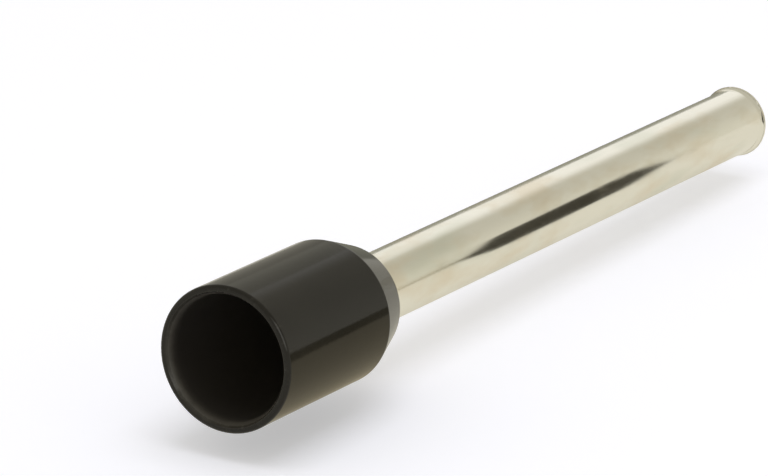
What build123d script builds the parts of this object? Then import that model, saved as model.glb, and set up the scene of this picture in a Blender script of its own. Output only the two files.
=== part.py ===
import math
import os

from build123d import *

# The ferrule stands on its mouth: its axis is +Z, and the middle of the mouth's rim is the origin.
# Driving dimensions, in millimetres and degrees

# Metal sleeve: a thin drawn tube, belled at its hidden end and lipped at its open tip
conductor_bore = 1.4
sleeve_wall = 0.15
pin_length = 18.3
bell_angle = 23.0
bell_bend = 0.25
bell_edge_step = 0.15
bell_edge_round = 0.04
tip_lip_spread = 0.12
tip_lip_angle = 20.0
tip_lip_bend = 0.4
tip_edge_round = 0.05

# Insulating collar: one moulding, a straight barrel that narrows to a neck round the sleeve
collar_diameter = 3.5
collar_wall = 0.25
barrel_length = 4.35
neck_length = 1.85
neck_lip = 0.1
throat_length = 0.25
throat_relief = 0.03
funnel_blend = 0.3
lead_in_width = 0.12
lead_in_depth = 0.2
rim_round = 0.08
shoulder_round = 0.1
neck_lip_round = 0.04

# Gap between the sleeve and the collar moulded round it
seat_clearance = 0.01

# Radii and heights that follow from these
sleeve_radius = conductor_bore / 2 + sleeve_wall
throat_radius = sleeve_radius + seat_clearance
neck_end_radius = throat_radius + neck_lip
collar_radius = collar_diameter / 2
insulation_radius = collar_radius - collar_wall
collar_length = barrel_length + neck_length
overall_length = collar_length + pin_length

# The bell is a cone that lies in the collar's funnel, so both cones open by the same angle
bell_slope = math.tan(math.radians(bell_angle))
funnel_small_end = collar_length - throat_length
funnel_large_end = funnel_small_end - (insulation_radius - throat_radius) / bell_slope
bell_start = funnel_small_end - seat_clearance * math.tan(math.radians(bell_angle / 2))
bell_rim_radius = insulation_radius - bell_edge_step
bell_rim_height = bell_start - (bell_rim_radius - sleeve_radius) / bell_slope

# The tip's lip flares outwards, and its end is cut square at the overall length
lip_slope = math.tan(math.radians(tip_lip_angle))
lip_start = overall_length - tip_lip_spread / lip_slope
lip_run_out = sleeve_wall
lip_end = (sleeve_radius + tip_lip_spread + lip_run_out * lip_slope, overall_length + lip_run_out)

# Metal sleeve: the section of its wall, from its outside line thickened inwards, turned round the axis
with BuildPart() as metal_sleeve:
    with BuildSketch(Plane.XZ) as wall_section:
        with BuildLine():
            FilletPolyline(
                (bell_rim_radius, bell_rim_height),
                (sleeve_radius, bell_start),
                (sleeve_radius, lip_start),
                lip_end,
                radius=[bell_bend, tip_lip_bend],
            )
            offset(amount=sleeve_wall, side=Side.LEFT, closed=True)
        make_face()
        with Locations((0, overall_length)):
            Rectangle(collar_radius, collar_radius, align=(Align.MIN, Align.MIN), mode=Mode.SUBTRACT)
        fillet(wall_section.vertices().sort_by(Axis.Y)[:2], bell_edge_round)
        fillet(wall_section.vertices().sort_by(Axis.Y)[-2:], tip_edge_round)
    revolve(axis=Axis.Z)

# Insulating collar: the section of its wall as corners, each with its radius, turned round the axis
collar_section = [
    ((collar_radius, 0), rim_round),
    ((collar_radius, barrel_length), shoulder_round),
    ((neck_end_radius, collar_length), neck_lip_round),
    ((throat_radius + throat_relief, collar_length), 0),
    ((throat_radius, collar_length - throat_relief), 0),
    ((throat_radius, funnel_small_end), bell_bend - seat_clearance),
    ((insulation_radius, funnel_large_end), funnel_blend),
    ((insulation_radius, lead_in_depth), 0),
    ((insulation_radius + lead_in_width, 0), 0),
]
with BuildPart() as insulating_collar:
    with BuildSketch(Plane.XZ):
        with BuildLine():
            FilletPolyline(
                [corner for corner, corner_radius in collar_section],
                radius=[corner_radius for corner, corner_radius in collar_section],
                close=True,
            )
        make_face()
    revolve(axis=Axis.Z)

metal_sleeve.part.label = "metal_sleeve"
insulating_collar.part.label = "insulating_collar"

os.makedirs("parts", exist_ok=True)
export_step(metal_sleeve.part, "parts/metal_sleeve.step")
export_step(insulating_collar.part, "parts/insulating_collar.step")
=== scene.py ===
import math

import bpy
from mathutils import Matrix, Vector


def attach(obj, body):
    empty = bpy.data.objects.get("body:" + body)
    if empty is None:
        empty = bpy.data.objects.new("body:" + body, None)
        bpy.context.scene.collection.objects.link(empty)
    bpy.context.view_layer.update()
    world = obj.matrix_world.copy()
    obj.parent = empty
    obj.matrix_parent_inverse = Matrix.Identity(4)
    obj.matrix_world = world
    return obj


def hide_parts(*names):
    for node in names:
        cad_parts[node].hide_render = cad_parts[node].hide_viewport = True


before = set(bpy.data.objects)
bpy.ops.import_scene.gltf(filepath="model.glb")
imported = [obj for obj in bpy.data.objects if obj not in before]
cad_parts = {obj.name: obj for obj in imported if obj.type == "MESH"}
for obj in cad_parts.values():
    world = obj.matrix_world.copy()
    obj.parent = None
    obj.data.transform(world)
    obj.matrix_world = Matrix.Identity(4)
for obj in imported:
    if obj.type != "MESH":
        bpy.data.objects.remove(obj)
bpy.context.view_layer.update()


# The metal sleeve: one thin copper tube, drawn to size, cut, belled at the end that sits in the
# collar and given a small outward lip at its open tip. It is tinned all over, warm silver outside,
# with painted shade darkening the inside of the bore. The collar is moulded round its bell, and nothing
# else holds it.

MM = 0.001

conductor_bore = 1.4
sleeve_wall = 0.15
overall_length = 24.5
bell_angle = math.radians(23.0)
bell_bend = 0.25
bell_rim_radius = 1.35
bell_start = 5.948
bell_edge_round = 0.04
tip_lip_spread = 0.12
tip_lip_angle = math.radians(38.0)
tip_lip_bend = 0.2
tip_edge_round = 0.05
sleeve_radius = conductor_bore / 2 + sleeve_wall
bore_radius = conductor_bore / 2
turn_steps = 192
spindle_radius = 0.2 * MM

bore_shade_margin = 0.04
tin_bright = (0.845, 0.83, 0.76, 1)
tin_tan = (0.78, 0.72, 0.605, 1)
tin_green = (0.74, 0.745, 0.66, 1)
# Painted shade: the bore colour below darkens the inside of the tube, where shade falls.
bore_painted_shade = (0.30, 0.245, 0.18, 1)


def rounded_section(corners, steps_a_right_angle=14, guard=0.012):
    """The closed outline through corners of (radius, height, rounding), in mm, each corner an arc.
    A guard point on either side of each arc keeps the straight runs flat under smooth shading."""
    outline = []
    for i, (radius, height, rounding) in enumerate(corners):
        corner = Vector((radius, height))
        back = (Vector(corners[i - 1][:2]) - corner).normalized()
        ahead = (Vector(corners[(i + 1) % len(corners)][:2]) - corner).normalized()
        opening = math.acos(max(-1.0, min(1.0, back.dot(ahead))))
        turn = math.pi - opening
        run = rounding / math.tan(opening / 2)
        centre = corner + (back + ahead).normalized() * rounding / math.sin(opening / 2)
        first, last = corner + back * run - centre, corner + ahead * run - centre
        steps = max(3, round(steps_a_right_angle * turn / (math.pi / 2)))
        outline.append(corner + back * (run + guard))
        for k in range(steps + 1):
            share = k / steps
            arm = first * math.sin((1 - share) * turn) + last * math.sin(share * turn)
            outline.append(centre + arm / math.sin(turn))
        outline.append(corner + ahead * (run + guard))
    return outline


def lathe_tree():
    """Geometry Nodes that turn a flat section round the axis: the section is swept along a small
    circle, the spindle, and stands off by the spindle's radius."""
    tree = bpy.data.node_groups.new("turned_on_a_lathe", "GeometryNodeTree")
    tree.is_modifier = True
    tree.interface.new_socket("Section", in_out="INPUT", socket_type="NodeSocketGeometry")
    for name, kind in (("Spindle Radius", "Float"), ("Turn Steps", "Int"), ("Finish", "Material")):
        tree.interface.new_socket(name, in_out="INPUT", socket_type="NodeSocket" + kind)
    tree.interface.new_socket("Turned Body", in_out="OUTPUT", socket_type="NodeSocketGeometry")
    nodes, links = tree.nodes, tree.links
    given = nodes.new("NodeGroupInput")
    section = nodes.new("GeometryNodeMeshToCurve")
    spindle = nodes.new("GeometryNodeCurvePrimitiveCircle")
    sweep = nodes.new("GeometryNodeCurveToMesh")
    smooth = nodes.new("GeometryNodeSetShadeSmooth")
    whole = nodes.new("GeometryNodeRealizeInstances")
    finish = nodes.new("GeometryNodeSetMaterial")
    result = nodes.new("NodeGroupOutput")
    links.new(given.outputs["Section"], section.inputs["Mesh"])
    links.new(given.outputs["Spindle Radius"], spindle.inputs["Radius"])
    links.new(given.outputs["Turn Steps"], spindle.inputs["Resolution"])
    links.new(spindle.outputs["Curve"], sweep.inputs["Curve"])
    links.new(section.outputs["Curve"], sweep.inputs["Profile Curve"])
    links.new(sweep.outputs["Mesh"], smooth.inputs["Geometry"])
    links.new(smooth.outputs["Geometry"], whole.inputs["Geometry"])
    links.new(whole.outputs["Geometry"], finish.inputs["Geometry"])
    links.new(given.outputs["Finish"], finish.inputs["Material"])
    links.new(finish.outputs["Geometry"], result.inputs["Turned Body"])
    return tree


def turned_piece(name, outline, finish):
    """A piece turned by the lathe tree from its outline, as a plain mesh with its faces outwards.
    The sweep lays the section's second axis downwards, so heights go in with their sign changed."""
    points = [(point.x * MM - spindle_radius, -point.y * MM, 0) for point in reversed(outline)]
    flat = bpy.data.meshes.new(name + "_section")
    flat.from_pydata(points, [(i, (i + 1) % len(points)) for i in range(len(points))], [])
    blank = bpy.data.objects.new(name + "_blank", flat)
    bpy.context.scene.collection.objects.link(blank)
    turning = blank.modifiers.new("turning", "NODES")
    turning.node_group = lathe
    values = {"Spindle Radius": spindle_radius, "Turn Steps": turn_steps, "Finish": finish}
    for item in lathe.interface.items_tree:
        if item.in_out == "INPUT" and item.name in values:
            turning[item.identifier] = values[item.name]
    bpy.context.view_layer.update()
    seen = blank.evaluated_get(bpy.context.evaluated_depsgraph_get())
    mesh = bpy.data.meshes.new_from_object(seen)
    bpy.data.objects.remove(blank)
    mesh.name = name
    piece = bpy.data.objects.new(name, mesh)
    bpy.context.scene.collection.objects.link(piece)
    return piece


class Wiring:
    """A short way to add the nodes of a finish or of the light."""

    def __init__(self, tree):
        self.nodes = tree.nodes
        self.links = tree.links

    def add(self, kind, sources=(), **settings):
        """A node with its settings, and its inputs filled from sources, by index or name."""
        node = self.nodes.new("ShaderNode" + kind)
        for key, value in settings.items():
            setattr(node, key, value)
        for socket, source in dict(sources).items():
            if isinstance(source, bpy.types.NodeSocket):
                self.links.new(source, node.inputs[socket])
            else:
                node.inputs[socket].default_value = source
        return node


class Finish(Wiring):
    """A material, with short ways to add the nodes of a finish on Object coordinates."""

    def __init__(self, name):
        self.material = bpy.data.materials.new(name)
        self.material.use_nodes = True
        super().__init__(self.material.node_tree)
        self.shader = self.nodes["Principled BSDF"]
        self.place = self.nodes.new("ShaderNodeTexCoord").outputs["Object"]

    def maths(self, operation, first, second=0.0):
        return self.add("Math", {0: first, 1: second}, operation=operation).outputs[0]

    def spread(self, value, low, high, to_low=0.0, to_high=1.0):
        """value mapped from low..high to to_low..to_high, held at both ends."""
        sources = {"Value": value, "From Min": low, "From Max": high, "To Min": to_low, "To Max": to_high}
        return self.add("MapRange", sources).outputs[0]

    def blend(self, share, first, second):
        """The colour that goes from first to second as share goes from 0 to 1."""
        return self.add("Mix", {0: share, 6: first, 7: second}, data_type="RGBA").outputs[2]

    def grain(self, per_mm, detail=3.0, roughness=0.55):
        """Noise with that many cells to a millimetre along X, Y and Z."""
        scale = tuple(count / MM for count in per_mm)
        placed = self.add("Mapping", {"Vector": self.place, "Scale": scale}).outputs[0]
        sources = {"Vector": placed, "Scale": 1.0, "Detail": detail, "Roughness": roughness}
        return self.add("TexNoise", sources).outputs["Fac"]

    def axis_distance(self):
        """Distance from the ferrule's axis, in mm."""
        flat = self.add("VectorMath", {0: self.place, 1: (1 / MM, 1 / MM, 0)}, operation="MULTIPLY")
        return self.add("VectorMath", {0: flat.outputs[0]}, operation="LENGTH").outputs["Value"]

    def height(self):
        """Height above the mouth's rim, in mm."""
        return self.maths("MULTIPLY", self.add("SeparateXYZ", {0: self.place}).outputs["Z"], 1 / MM)

    def relief(self, value, depth, below=None):
        """Bump of that depth in mm, over the relief below it."""
        sources = {"Height": value, "Distance": depth * MM, "Strength": 1.0}
        if below is not None:
            sources["Normal"] = below
        return self.add("Bump", sources).outputs[0]

    def dress(self, colour, roughness, normal, **constants):
        """The material, with its shader given these."""
        self.links.new(colour, self.shader.inputs["Base Color"])
        self.links.new(roughness, self.shader.inputs["Roughness"])
        self.links.new(normal, self.shader.inputs["Normal"])
        for name, value in constants.items():
            self.shader.inputs[name.replace("_", " ")].default_value = value
        return self.material

    def show(self, surface):
        """The material, with this surface in place of its shader."""
        self.links.new(surface, self.nodes["Material Output"].inputs["Surface"])
        self.nodes.remove(self.shader)
        return self.material


def tin_plate():
    """Tin on drawn copper: lengthwise draw marks, a soft cloudy mottle, faint rubs and painted shade
    darkening the bore.
    """
    tin = Finish("tin_on_drawn_copper")
    marks = tin.grain((16, 16, 0.25), detail=4)
    clouds = tin.grain((1.1, 1.1, 0.42), detail=3)
    mist = tin.grain((0.8, 0.8, 0.3), detail=2)
    rubs = tin.spread(tin.grain((5, 5, 0.9), detail=2), 0.60, 0.78)
    # Painted shade: the inner wall of the bore takes the darker bore colour.
    wall_outside, wall_inside = sleeve_radius - bore_shade_margin, bore_radius + bore_shade_margin
    in_bore = tin.spread(tin.axis_distance(), wall_outside, wall_inside)
    colour = tin.blend(tin.spread(mist, 0.48, 0.66), tin_bright, tin_green)
    colour = tin.blend(tin.spread(clouds, 0.46, 0.66), colour, tin_tan)
    colour = tin.blend(in_bore, colour, bore_painted_shade)
    roughness = tin.spread(clouds, 0.3, 0.7, 0.13, 0.21)
    roughness = tin.maths("ADD", roughness, tin.maths("MULTIPLY", rubs, 0.10))
    return tin.dress(colour, roughness, tin.relief(marks, 0.0012), Metallic=1.0)


lathe = lathe_tree()
bell_slope = math.tan(bell_angle)
lip_slope = math.tan(tip_lip_angle)
bell_rim_height = bell_start - (bell_rim_radius - sleeve_radius) / bell_slope
lip_start = overall_length - tip_lip_spread / lip_slope
bore_bell_corner = bell_start - sleeve_wall * math.tan(bell_angle / 2)
bore_lip_corner = lip_start + sleeve_wall * math.tan(tip_lip_angle / 2)
bell_inner_rim = (
    bell_rim_radius - sleeve_wall * math.cos(bell_angle),
    bell_rim_height - sleeve_wall * math.sin(bell_angle),
)
sleeve_outline = rounded_section([
    (bell_rim_radius, bell_rim_height, bell_edge_round),
    (sleeve_radius, bell_start, bell_bend),
    (sleeve_radius, lip_start, tip_lip_bend),
    (sleeve_radius + tip_lip_spread, overall_length, tip_edge_round),
    (bore_radius + (overall_length - bore_lip_corner) * lip_slope, overall_length, tip_edge_round),
    (bore_radius, bore_lip_corner, tip_lip_bend + sleeve_wall),
    (bore_radius, bore_bell_corner, bell_bend + sleeve_wall),
    (*bell_inner_rim, bell_edge_round),
])
sleeve = turned_piece("tinned_sleeve", sleeve_outline, tin_plate())
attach(sleeve, "root")
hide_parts("metal_sleeve")


# The insulating collar: one moulding in glossy black polypropylene, a straight barrel open at the
# mouth that narrows to a thin neck round the sleeve. It is moulded over the sleeve's bell, which
# lies in its inner funnel, and its mouth has a lead-in for the wire's insulation.

collar_radius = 1.75
insulation_radius = 1.5
throat_radius = 0.86
neck_end_radius = 0.96
barrel_length = 4.35
neck_bend_radius = 1.36
neck_bend_height = 5.45
collar_length = 6.03
funnel_small_end = 5.95
funnel_large_end = funnel_small_end - (insulation_radius - throat_radius) / bell_slope
lead_in_width = 0.10
lead_in_depth = 0.16
throat_relief = 0.03
rim_round = 0.09
shoulder_round = 0.1
neck_bend_round = 0.4
neck_end_round = 0.04
throat_edge_round = 0.015
funnel_top_round = 0.24
funnel_foot_round = 0.3
lead_in_round = 0.25
mouth_edge_round = 0.02
guard_in_collar = 0.006

bore_skin = (insulation_radius + 0.08, insulation_radius + 0.03)
bore_skin_narrowing = 0.4
# The paler ring at the lead-in is partly wear and partly painted light on the lead-in's inner face.
wear_and_painted_light_ring = (insulation_radius + 0.12, insulation_radius + 0.06)
wear_and_painted_light_height = (0.40, 0.12)
scuffed_height = (0.35, 0.02)
# Painted light: deeper in the collar's bore the colour grows paler, standing for light that reaches inside.
bore_painted_light_heights = (0.6, 3.0)
plastic_black = (0.0085, 0.0075, 0.0055, 1)
plastic_flow = (0.0125, 0.011, 0.008, 1)
plastic_scuffed = (0.036, 0.033, 0.027, 1)
plastic_in_bore = (0.030, 0.0265, 0.023, 1)
plastic_bore_painted_light = (0.062, 0.055, 0.047, 1)
# The next colour is partly wear and partly painted light on the lead-in.
plastic_wear_and_painted_light = (0.062, 0.057, 0.048, 1)


def moulded_black():
    """Glossy black moulded plastic: faint flow, a fine skin, slight scuffs round the rim, a duller bore
    with painted light that makes it paler with depth, and a paler ring at the lead-in that is partly wear
    and partly painted light."""
    plastic = Finish("glossy_black_moulding")
    flow = plastic.grain((0.7, 0.7, 0.35), detail=3)
    skin = plastic.grain((9, 9, 9), detail=3)
    ripple = plastic.grain((1.3, 1.3, 0.5), detail=1)
    scuffs = plastic.grain((6, 6, 3), detail=5, roughness=0.7)
    distance, height = plastic.axis_distance(), plastic.height()

    scuffed = plastic.spread(scuffs, 0.55, 0.75)
    scuffed = plastic.maths("MULTIPLY", scuffed, plastic.spread(height, *scuffed_height))
    above_barrel = plastic.maths("MAXIMUM", plastic.maths("SUBTRACT", height, barrel_length), 0.0)
    narrowing = plastic.maths("MULTIPLY", above_barrel, bore_skin_narrowing)
    in_bore = plastic.spread(plastic.maths("ADD", distance, narrowing), *bore_skin)
    # Wear and painted light: a paler ring on the lead-in.
    wear_and_painted_light = plastic.spread(distance, *wear_and_painted_light_ring)
    wear_and_painted_light = plastic.maths("MULTIPLY", wear_and_painted_light, plastic.spread(height, *wear_and_painted_light_height))
    wear_and_painted_light = plastic.maths("MULTIPLY", wear_and_painted_light, plastic.spread(scuffs, 0.3, 0.6, 0.6, 1.0))

    colour = plastic.blend(plastic.spread(flow, 0.35, 0.7), plastic_black, plastic_flow)
    colour = plastic.blend(scuffed, colour, plastic_scuffed)
    # Painted light: the bore's colour grows paler with depth.
    depth = plastic.spread(height, *bore_painted_light_heights)
    colour = plastic.blend(in_bore, colour, plastic.blend(depth, plastic_in_bore, plastic_bore_painted_light))
    colour = plastic.blend(wear_and_painted_light, colour, plastic_wear_and_painted_light)
    roughness = plastic.spread(flow, 0.3, 0.7, 0.11, 0.15)
    roughness = plastic.maths("ADD", roughness, plastic.maths("MULTIPLY", scuffed, 0.15))
    roughness = plastic.maths("ADD", roughness, plastic.maths("MULTIPLY", in_bore, 0.35))
    normal = plastic.relief(skin, 0.0010, plastic.relief(ripple, 0.004))
    return plastic.dress(colour, roughness, normal, Specular_IOR_Level=0.29)


collar_outline = rounded_section([
    (collar_radius, 0, rim_round),
    (collar_radius, barrel_length, shoulder_round),
    (neck_bend_radius, neck_bend_height, neck_bend_round),
    (neck_end_radius, collar_length, neck_end_round),
    (throat_radius + throat_relief, collar_length, throat_edge_round),
    (throat_radius, collar_length - throat_relief, throat_edge_round),
    (throat_radius, funnel_small_end, funnel_top_round),
    (insulation_radius, funnel_large_end, funnel_foot_round),
    (insulation_radius, lead_in_depth, lead_in_round),
    (insulation_radius + lead_in_width, 0, mouth_edge_round),
], guard=guard_in_collar)
collar = turned_piece("black_collar", collar_outline, moulded_black())
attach(collar, "root")
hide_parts("insulating_collar")


# The camera: a long lens a hand's breadth away, looking down at the ferrule as it lies, with the
# mouth towards it. Its place comes from where the mouth and the axis stand in the picture.

picture_width = 768
focal_pixels = 6016
mouth_from_camera = Vector((-3.6183, -2.7600, -136.1054)) * MM
axis_turn = math.radians(24.505)
axis_depth = math.radians(55.164)
table_dip = math.radians(18.8)
table_side = math.radians(-45)

axis_seen = Vector((
    math.cos(axis_turn) * math.cos(axis_depth),
    math.sin(axis_turn) * math.cos(axis_depth),
    -math.sin(axis_depth),
))
table_up_seen = Vector((0, math.cos(table_dip), math.sin(table_dip)))


def axes_from(along, beside):
    """Three square axes as rows: along, then beside made square to it, then the third."""
    second = (beside - beside.dot(along) * along).normalized()
    return Matrix((along, second, along.cross(second)))


in_camera = axes_from(axis_seen, table_up_seen)
in_model = axes_from(Vector((0, 0, 1)), Vector((math.cos(table_side), math.sin(table_side), 0)))
camera_turn = in_model.transposed() @ in_camera

lens = bpy.data.cameras.new("photo_camera")
lens.sensor_width = 36
lens.lens = focal_pixels / picture_width * lens.sensor_width
lens.clip_start = 10 * MM
lens.clip_end = 10
camera = bpy.data.objects.new("photo_camera", lens)
camera.matrix_world = Matrix.Translation(camera_turn @ -mouth_from_camera) @ camera_turn.to_4x4()
bpy.context.scene.collection.objects.link(camera)
bpy.context.scene.camera = camera


# The table that the ferrule lies on, touching it at the collar's shoulder and the tip's lip. It is
# pale paper with one face, so that it hides nothing from behind. A level ground shows under the
# ferrule in the views where it stands on its mouth.

table_up = camera_turn @ table_up_seen
table_right = camera_turn @ Vector((1, 0, 0))
table_away = table_up.cross(table_right)
lean = math.hypot(table_up.x, table_up.y)
table_height = min(
    barrel_length * table_up.z - collar_radius * lean,
    overall_length * table_up.z - (sleeve_radius + tip_lip_spread) * lean,
) * MM
stage_half = 90 * MM
table_rise_from_foot = 12 * MM
ground_gap = 0.01 * MM
table_ahead = (Vector((0, 0, 1)) - table_up * table_up.z).normalized()
table_beside = table_ahead.cross(table_up)

paper_white = (0.78, 0.80, 0.94, 1)
camera_lift = (0.345, 0.345, 0.345, 1)
paper_in_metal = (0.40, 0.40, 0.40, 1)
metal_lift = (0.478, 0.456, 0.384, 1)
warm_tint = (0.84, 0.775, 0.635, 1)
warm_beside = (0.25, 12.8)
warm_near_slopes = ((0.3, 0.7), (1.05, -1.7))
warm_far_slopes = ((0, 6.3), (1.27, 4.3))
warm_soft_edge = 0.1


def warm_patch(sheet):
    """1 where the table shows warm in what shines: from beside the collar on to the right, between
    a near and a far line that bend once. A slope is (mm along for each mm beside, mm along at 0)."""
    along, beside = [
        sheet.add("VectorMath", {0: sheet.place, 1: way / MM}, operation="DOT_PRODUCT").outputs["Value"]
        for way in (table_ahead, table_beside)
    ]

    def bent_line(slopes):
        rises = [
            sheet.maths("ADD", sheet.maths("MULTIPLY", beside, slope), start) for slope, start in slopes
        ]
        return sheet.maths("MAXIMUM", *rises)

    inside = sheet.maths("SUBTRACT", beside, warm_beside[0])
    for low, high in (
        (beside, warm_beside[1]), (bent_line(warm_near_slopes), along), (along, bent_line(warm_far_slopes)),
    ):
        inside = sheet.maths("MINIMUM", inside, sheet.maths("SUBTRACT", high, low))
    return sheet.spread(inside, 0, warm_soft_edge)


def paper(name):
    """Pale paper with one face. It keeps the object's shadow, glows a little for the camera so that
    it comes out white, and shows as a pale field with a warm patch in what shines."""
    sheet = Finish(name)
    path = sheet.add("LightPath").outputs
    back = sheet.add("NewGeometry").outputs["Backfacing"]
    tint = sheet.blend(warm_patch(sheet), (1, 1, 1, 1), warm_tint)

    def glowing(colour, glow):
        base = sheet.add("BsdfDiffuse", {"Color": colour}).outputs[0]
        lift = sheet.add("Emission", {"Color": glow}).outputs[0]
        return sheet.add("AddShader", {0: base, 1: lift}).outputs[0]

    def tinted(colour):
        sources = {0: 1.0, 6: colour, 7: tint}
        return sheet.add("Mix", sources, data_type="RGBA", blend_type="MULTIPLY").outputs[2]

    lifted = glowing(paper_white, camera_lift)
    field = glowing(tinted(paper_in_metal), tinted(metal_lift))
    surface = sheet.add("BsdfDiffuse", {"Color": paper_white}).outputs[0]
    clear = sheet.add("BsdfTransparent").outputs[0]
    for share, other in ((path["Is Camera Ray"], lifted), (path["Is Glossy Ray"], field), (back, clear)):
        surface = sheet.add("MixShader", {0: share, 1: surface, 2: other}).outputs[0]
    return sheet.show(surface)


def flat_stage(name, corners, material):
    """A flat face through its corners, with that material."""
    mesh = bpy.data.meshes.new(name)
    mesh.from_pydata([tuple(corner) for corner in corners], [], [tuple(range(len(corners)))])
    mesh.materials.append(material)
    thing = bpy.data.objects.new(name, mesh)
    bpy.context.scene.collection.objects.link(thing)
    return thing


def square_round(middle, right, away):
    """The corners of a stage-sized square, in the order that makes it face right x away."""
    signs = ((-1, -1), (1, -1), (1, 1), (-1, 1))
    return [middle + (right * u + away * v) * stage_half for u, v in signs]


white_paper = paper("pale_paper")
table_foot = table_up * table_height
table_middle = table_foot + Vector((0, 0, table_rise_from_foot))
flat_stage("pale_table", square_round(table_middle, table_right, table_away), white_paper)
ground_square = square_round(Vector((0, 0, -ground_gap)), Vector((1, 0, 0)), Vector((0, 1, 0)))
ground = flat_stage("pale_ground", ground_square, white_paper)
ground.visible_diffuse = ground.visible_glossy = ground.visible_transmission = False
ground.visible_shadow = False


# The cards on and over the table, seen only in what shines. On the right they give the tube its
# dark streak with a thin line before it, and the barrel its dark line. On the left they darken the
# tube's upper edge and give the barrel grey bands, and the one in front puts light on the rim.

left_of_tube = -10
right_of_tube = 5.0
streak_beside = 4.3
off_table = 0.02
strip_height = 0.01


def upright(beside, outline):
    """Corners of an upright card, its outline given as (along the ferrule, height over the table)."""
    return [(beside, along, height) for along, height in outline]


def lying(outline):
    """Corners of a strip lying on the table, its outline given as (beside, along the ferrule)."""
    return [(beside, along, strip_height) for beside, along in outline]


def card(name, places, *shade):
    """A card through places of (beside, along, height) in mm, which only shows in what shines."""
    face = Finish(name)
    glow = face.add("Emission", {"Color": (*shade, 1)}).outputs[0]
    corners = [
        table_foot + (table_ahead * along + table_beside * beside + table_up * height) * MM
        for beside, along, height in places
    ]
    thing = flat_stage(name, corners, face.show(glow))
    thing.visible_camera = thing.visible_diffuse = thing.visible_shadow = False
    thing.visible_transmission = False


card("black_card", upright(streak_beside, [
    (14.2, 1.35), (16.2, off_table), (22.8, off_table), (24.9, 1.2), (23.7, 2.9), (16.2, 2.9),
]), 0.05, 0.045, 0.034)
card("brown_line", upright(right_of_tube, [
    (5.0, 1.45), (15.6, 1.35), (15.6, 1.75), (5.0, 1.6),
]), 0.36, 0.33, 0.24)
card("barrel_line", upright(right_of_tube, [
    (3.0, 1.1), (10.2, 1.1), (10.2, 1.95), (3.0, 2.1),
]), 0.24, 0.215, 0.145)
card("low_grey_card", upright(left_of_tube, [
    (12.0, 1.5), (19.0, 1.5), (19.2, 4.5), (22.0, 9.0), (12.0, 9.0),
]), 0.42, 0.40, 0.335)
card("high_grey_card", upright(left_of_tube, [
    (12.0, 9.0), (22.0, 9.0), (28.3, 14.6), (50.0, 31.5), (30.0, 31.5),
]), 0.60, 0.58, 0.49)
card("grey_card", upright(left_of_tube, [
    (20.3, off_table), (42.0, off_table), (42.0, 4.8), (21.8, 5.4), (20.3, 5.5),
]), 0.33, 0.325, 0.265)
card("grey_strip", lying([
    (-3.2, 11.5), (-5.0, 12.4), (-6.2, 13.9), (-7.4, 15.6), (-9.2, 18.0),
    (-10.0, 19.4), (-10.0, 42.0), (-2.4, 42.0), (-2.4, 24.0),
]), 0.25, 0.24, 0.185)
card("front_window", [(125, -15, 108), (159, -37, 28), (99, -129, 28), (65, -107, 108)], 2.4, 2.35, 2.15)


# The light: a soft even room, a little darker above, with a bright window behind the table, and
# one wide lamp overhead that reflections don't show. The room is white where the camera sees it.
# Neither is stronger than it takes for a colour to come out as it is written.

room_low = (0.74, 0.71, 0.60, 1)
room_high = (0.58, 0.555, 0.47, 1)
room_seen = (1, 1, 1, 1)
window_light = (1.0, 0.98, 0.92, 1)
window_turn = math.radians(4)
window_rise = math.radians(20)
window_core = math.radians(6)
window_reach = math.radians(28)
lamp_width = 140 * MM
lamp_power = 0.12
lamp_place = table_up * 200 * MM + table_right * 30 * MM - table_away * 20 * MM

room = bpy.data.worlds.new("soft_room")
bpy.context.scene.world = room
room.use_nodes = True
light = Wiring(room.node_tree)
light.nodes.clear()
way_out = light.add("TexCoord").outputs["Generated"]


def towards(direction, low, high):
    """0 to 1 as the way out of the room turns towards direction, from cosine low to cosine high."""
    dot = light.add("VectorMath", {0: way_out, 1: direction}, operation="DOT_PRODUCT").outputs["Value"]
    sources = {"Value": dot, "From Min": low, "From Max": high}
    return light.add("MapRange", sources, interpolation_type="SMOOTHSTEP").outputs[0]


window_way = (
    table_right * math.sin(window_turn) * math.cos(window_rise)
    + table_away * math.cos(window_turn) * math.cos(window_rise)
    + table_up * math.sin(window_rise)
)
upwards = towards(table_up, 0.05, 0.6)
in_window = towards(window_way, math.cos(window_reach), math.cos(window_core))
walls = light.add("Mix", {0: upwards, 6: room_low, 7: room_high}, data_type="RGBA").outputs[2]
walls = light.add("Mix", {0: in_window, 6: walls, 7: window_light}, data_type="RGBA").outputs[2]
lit = light.add("Background", {"Color": walls}).outputs[0]
seen = light.add("Background", {"Color": room_seen}).outputs[0]
camera_ray = light.add("LightPath").outputs["Is Camera Ray"]
either = light.add("MixShader", {0: camera_ray, 1: lit, 2: seen}).outputs[0]
light.add("OutputWorld", {"Surface": either})

lamp_data = bpy.data.lights.new("wide_lamp", "AREA")
lamp_data.shape = "SQUARE"
lamp_data.size = lamp_width
lamp_data.energy = lamp_power
lamp = bpy.data.objects.new("wide_lamp", lamp_data)
lamp.matrix_world = Matrix.Translation(lamp_place) @ lamp_place.to_track_quat("Z", "Y").to_matrix().to_4x4()
lamp.visible_glossy = False
bpy.context.scene.collection.objects.link(lamp)

bpy.context.scene.view_settings.view_transform = "Standard"
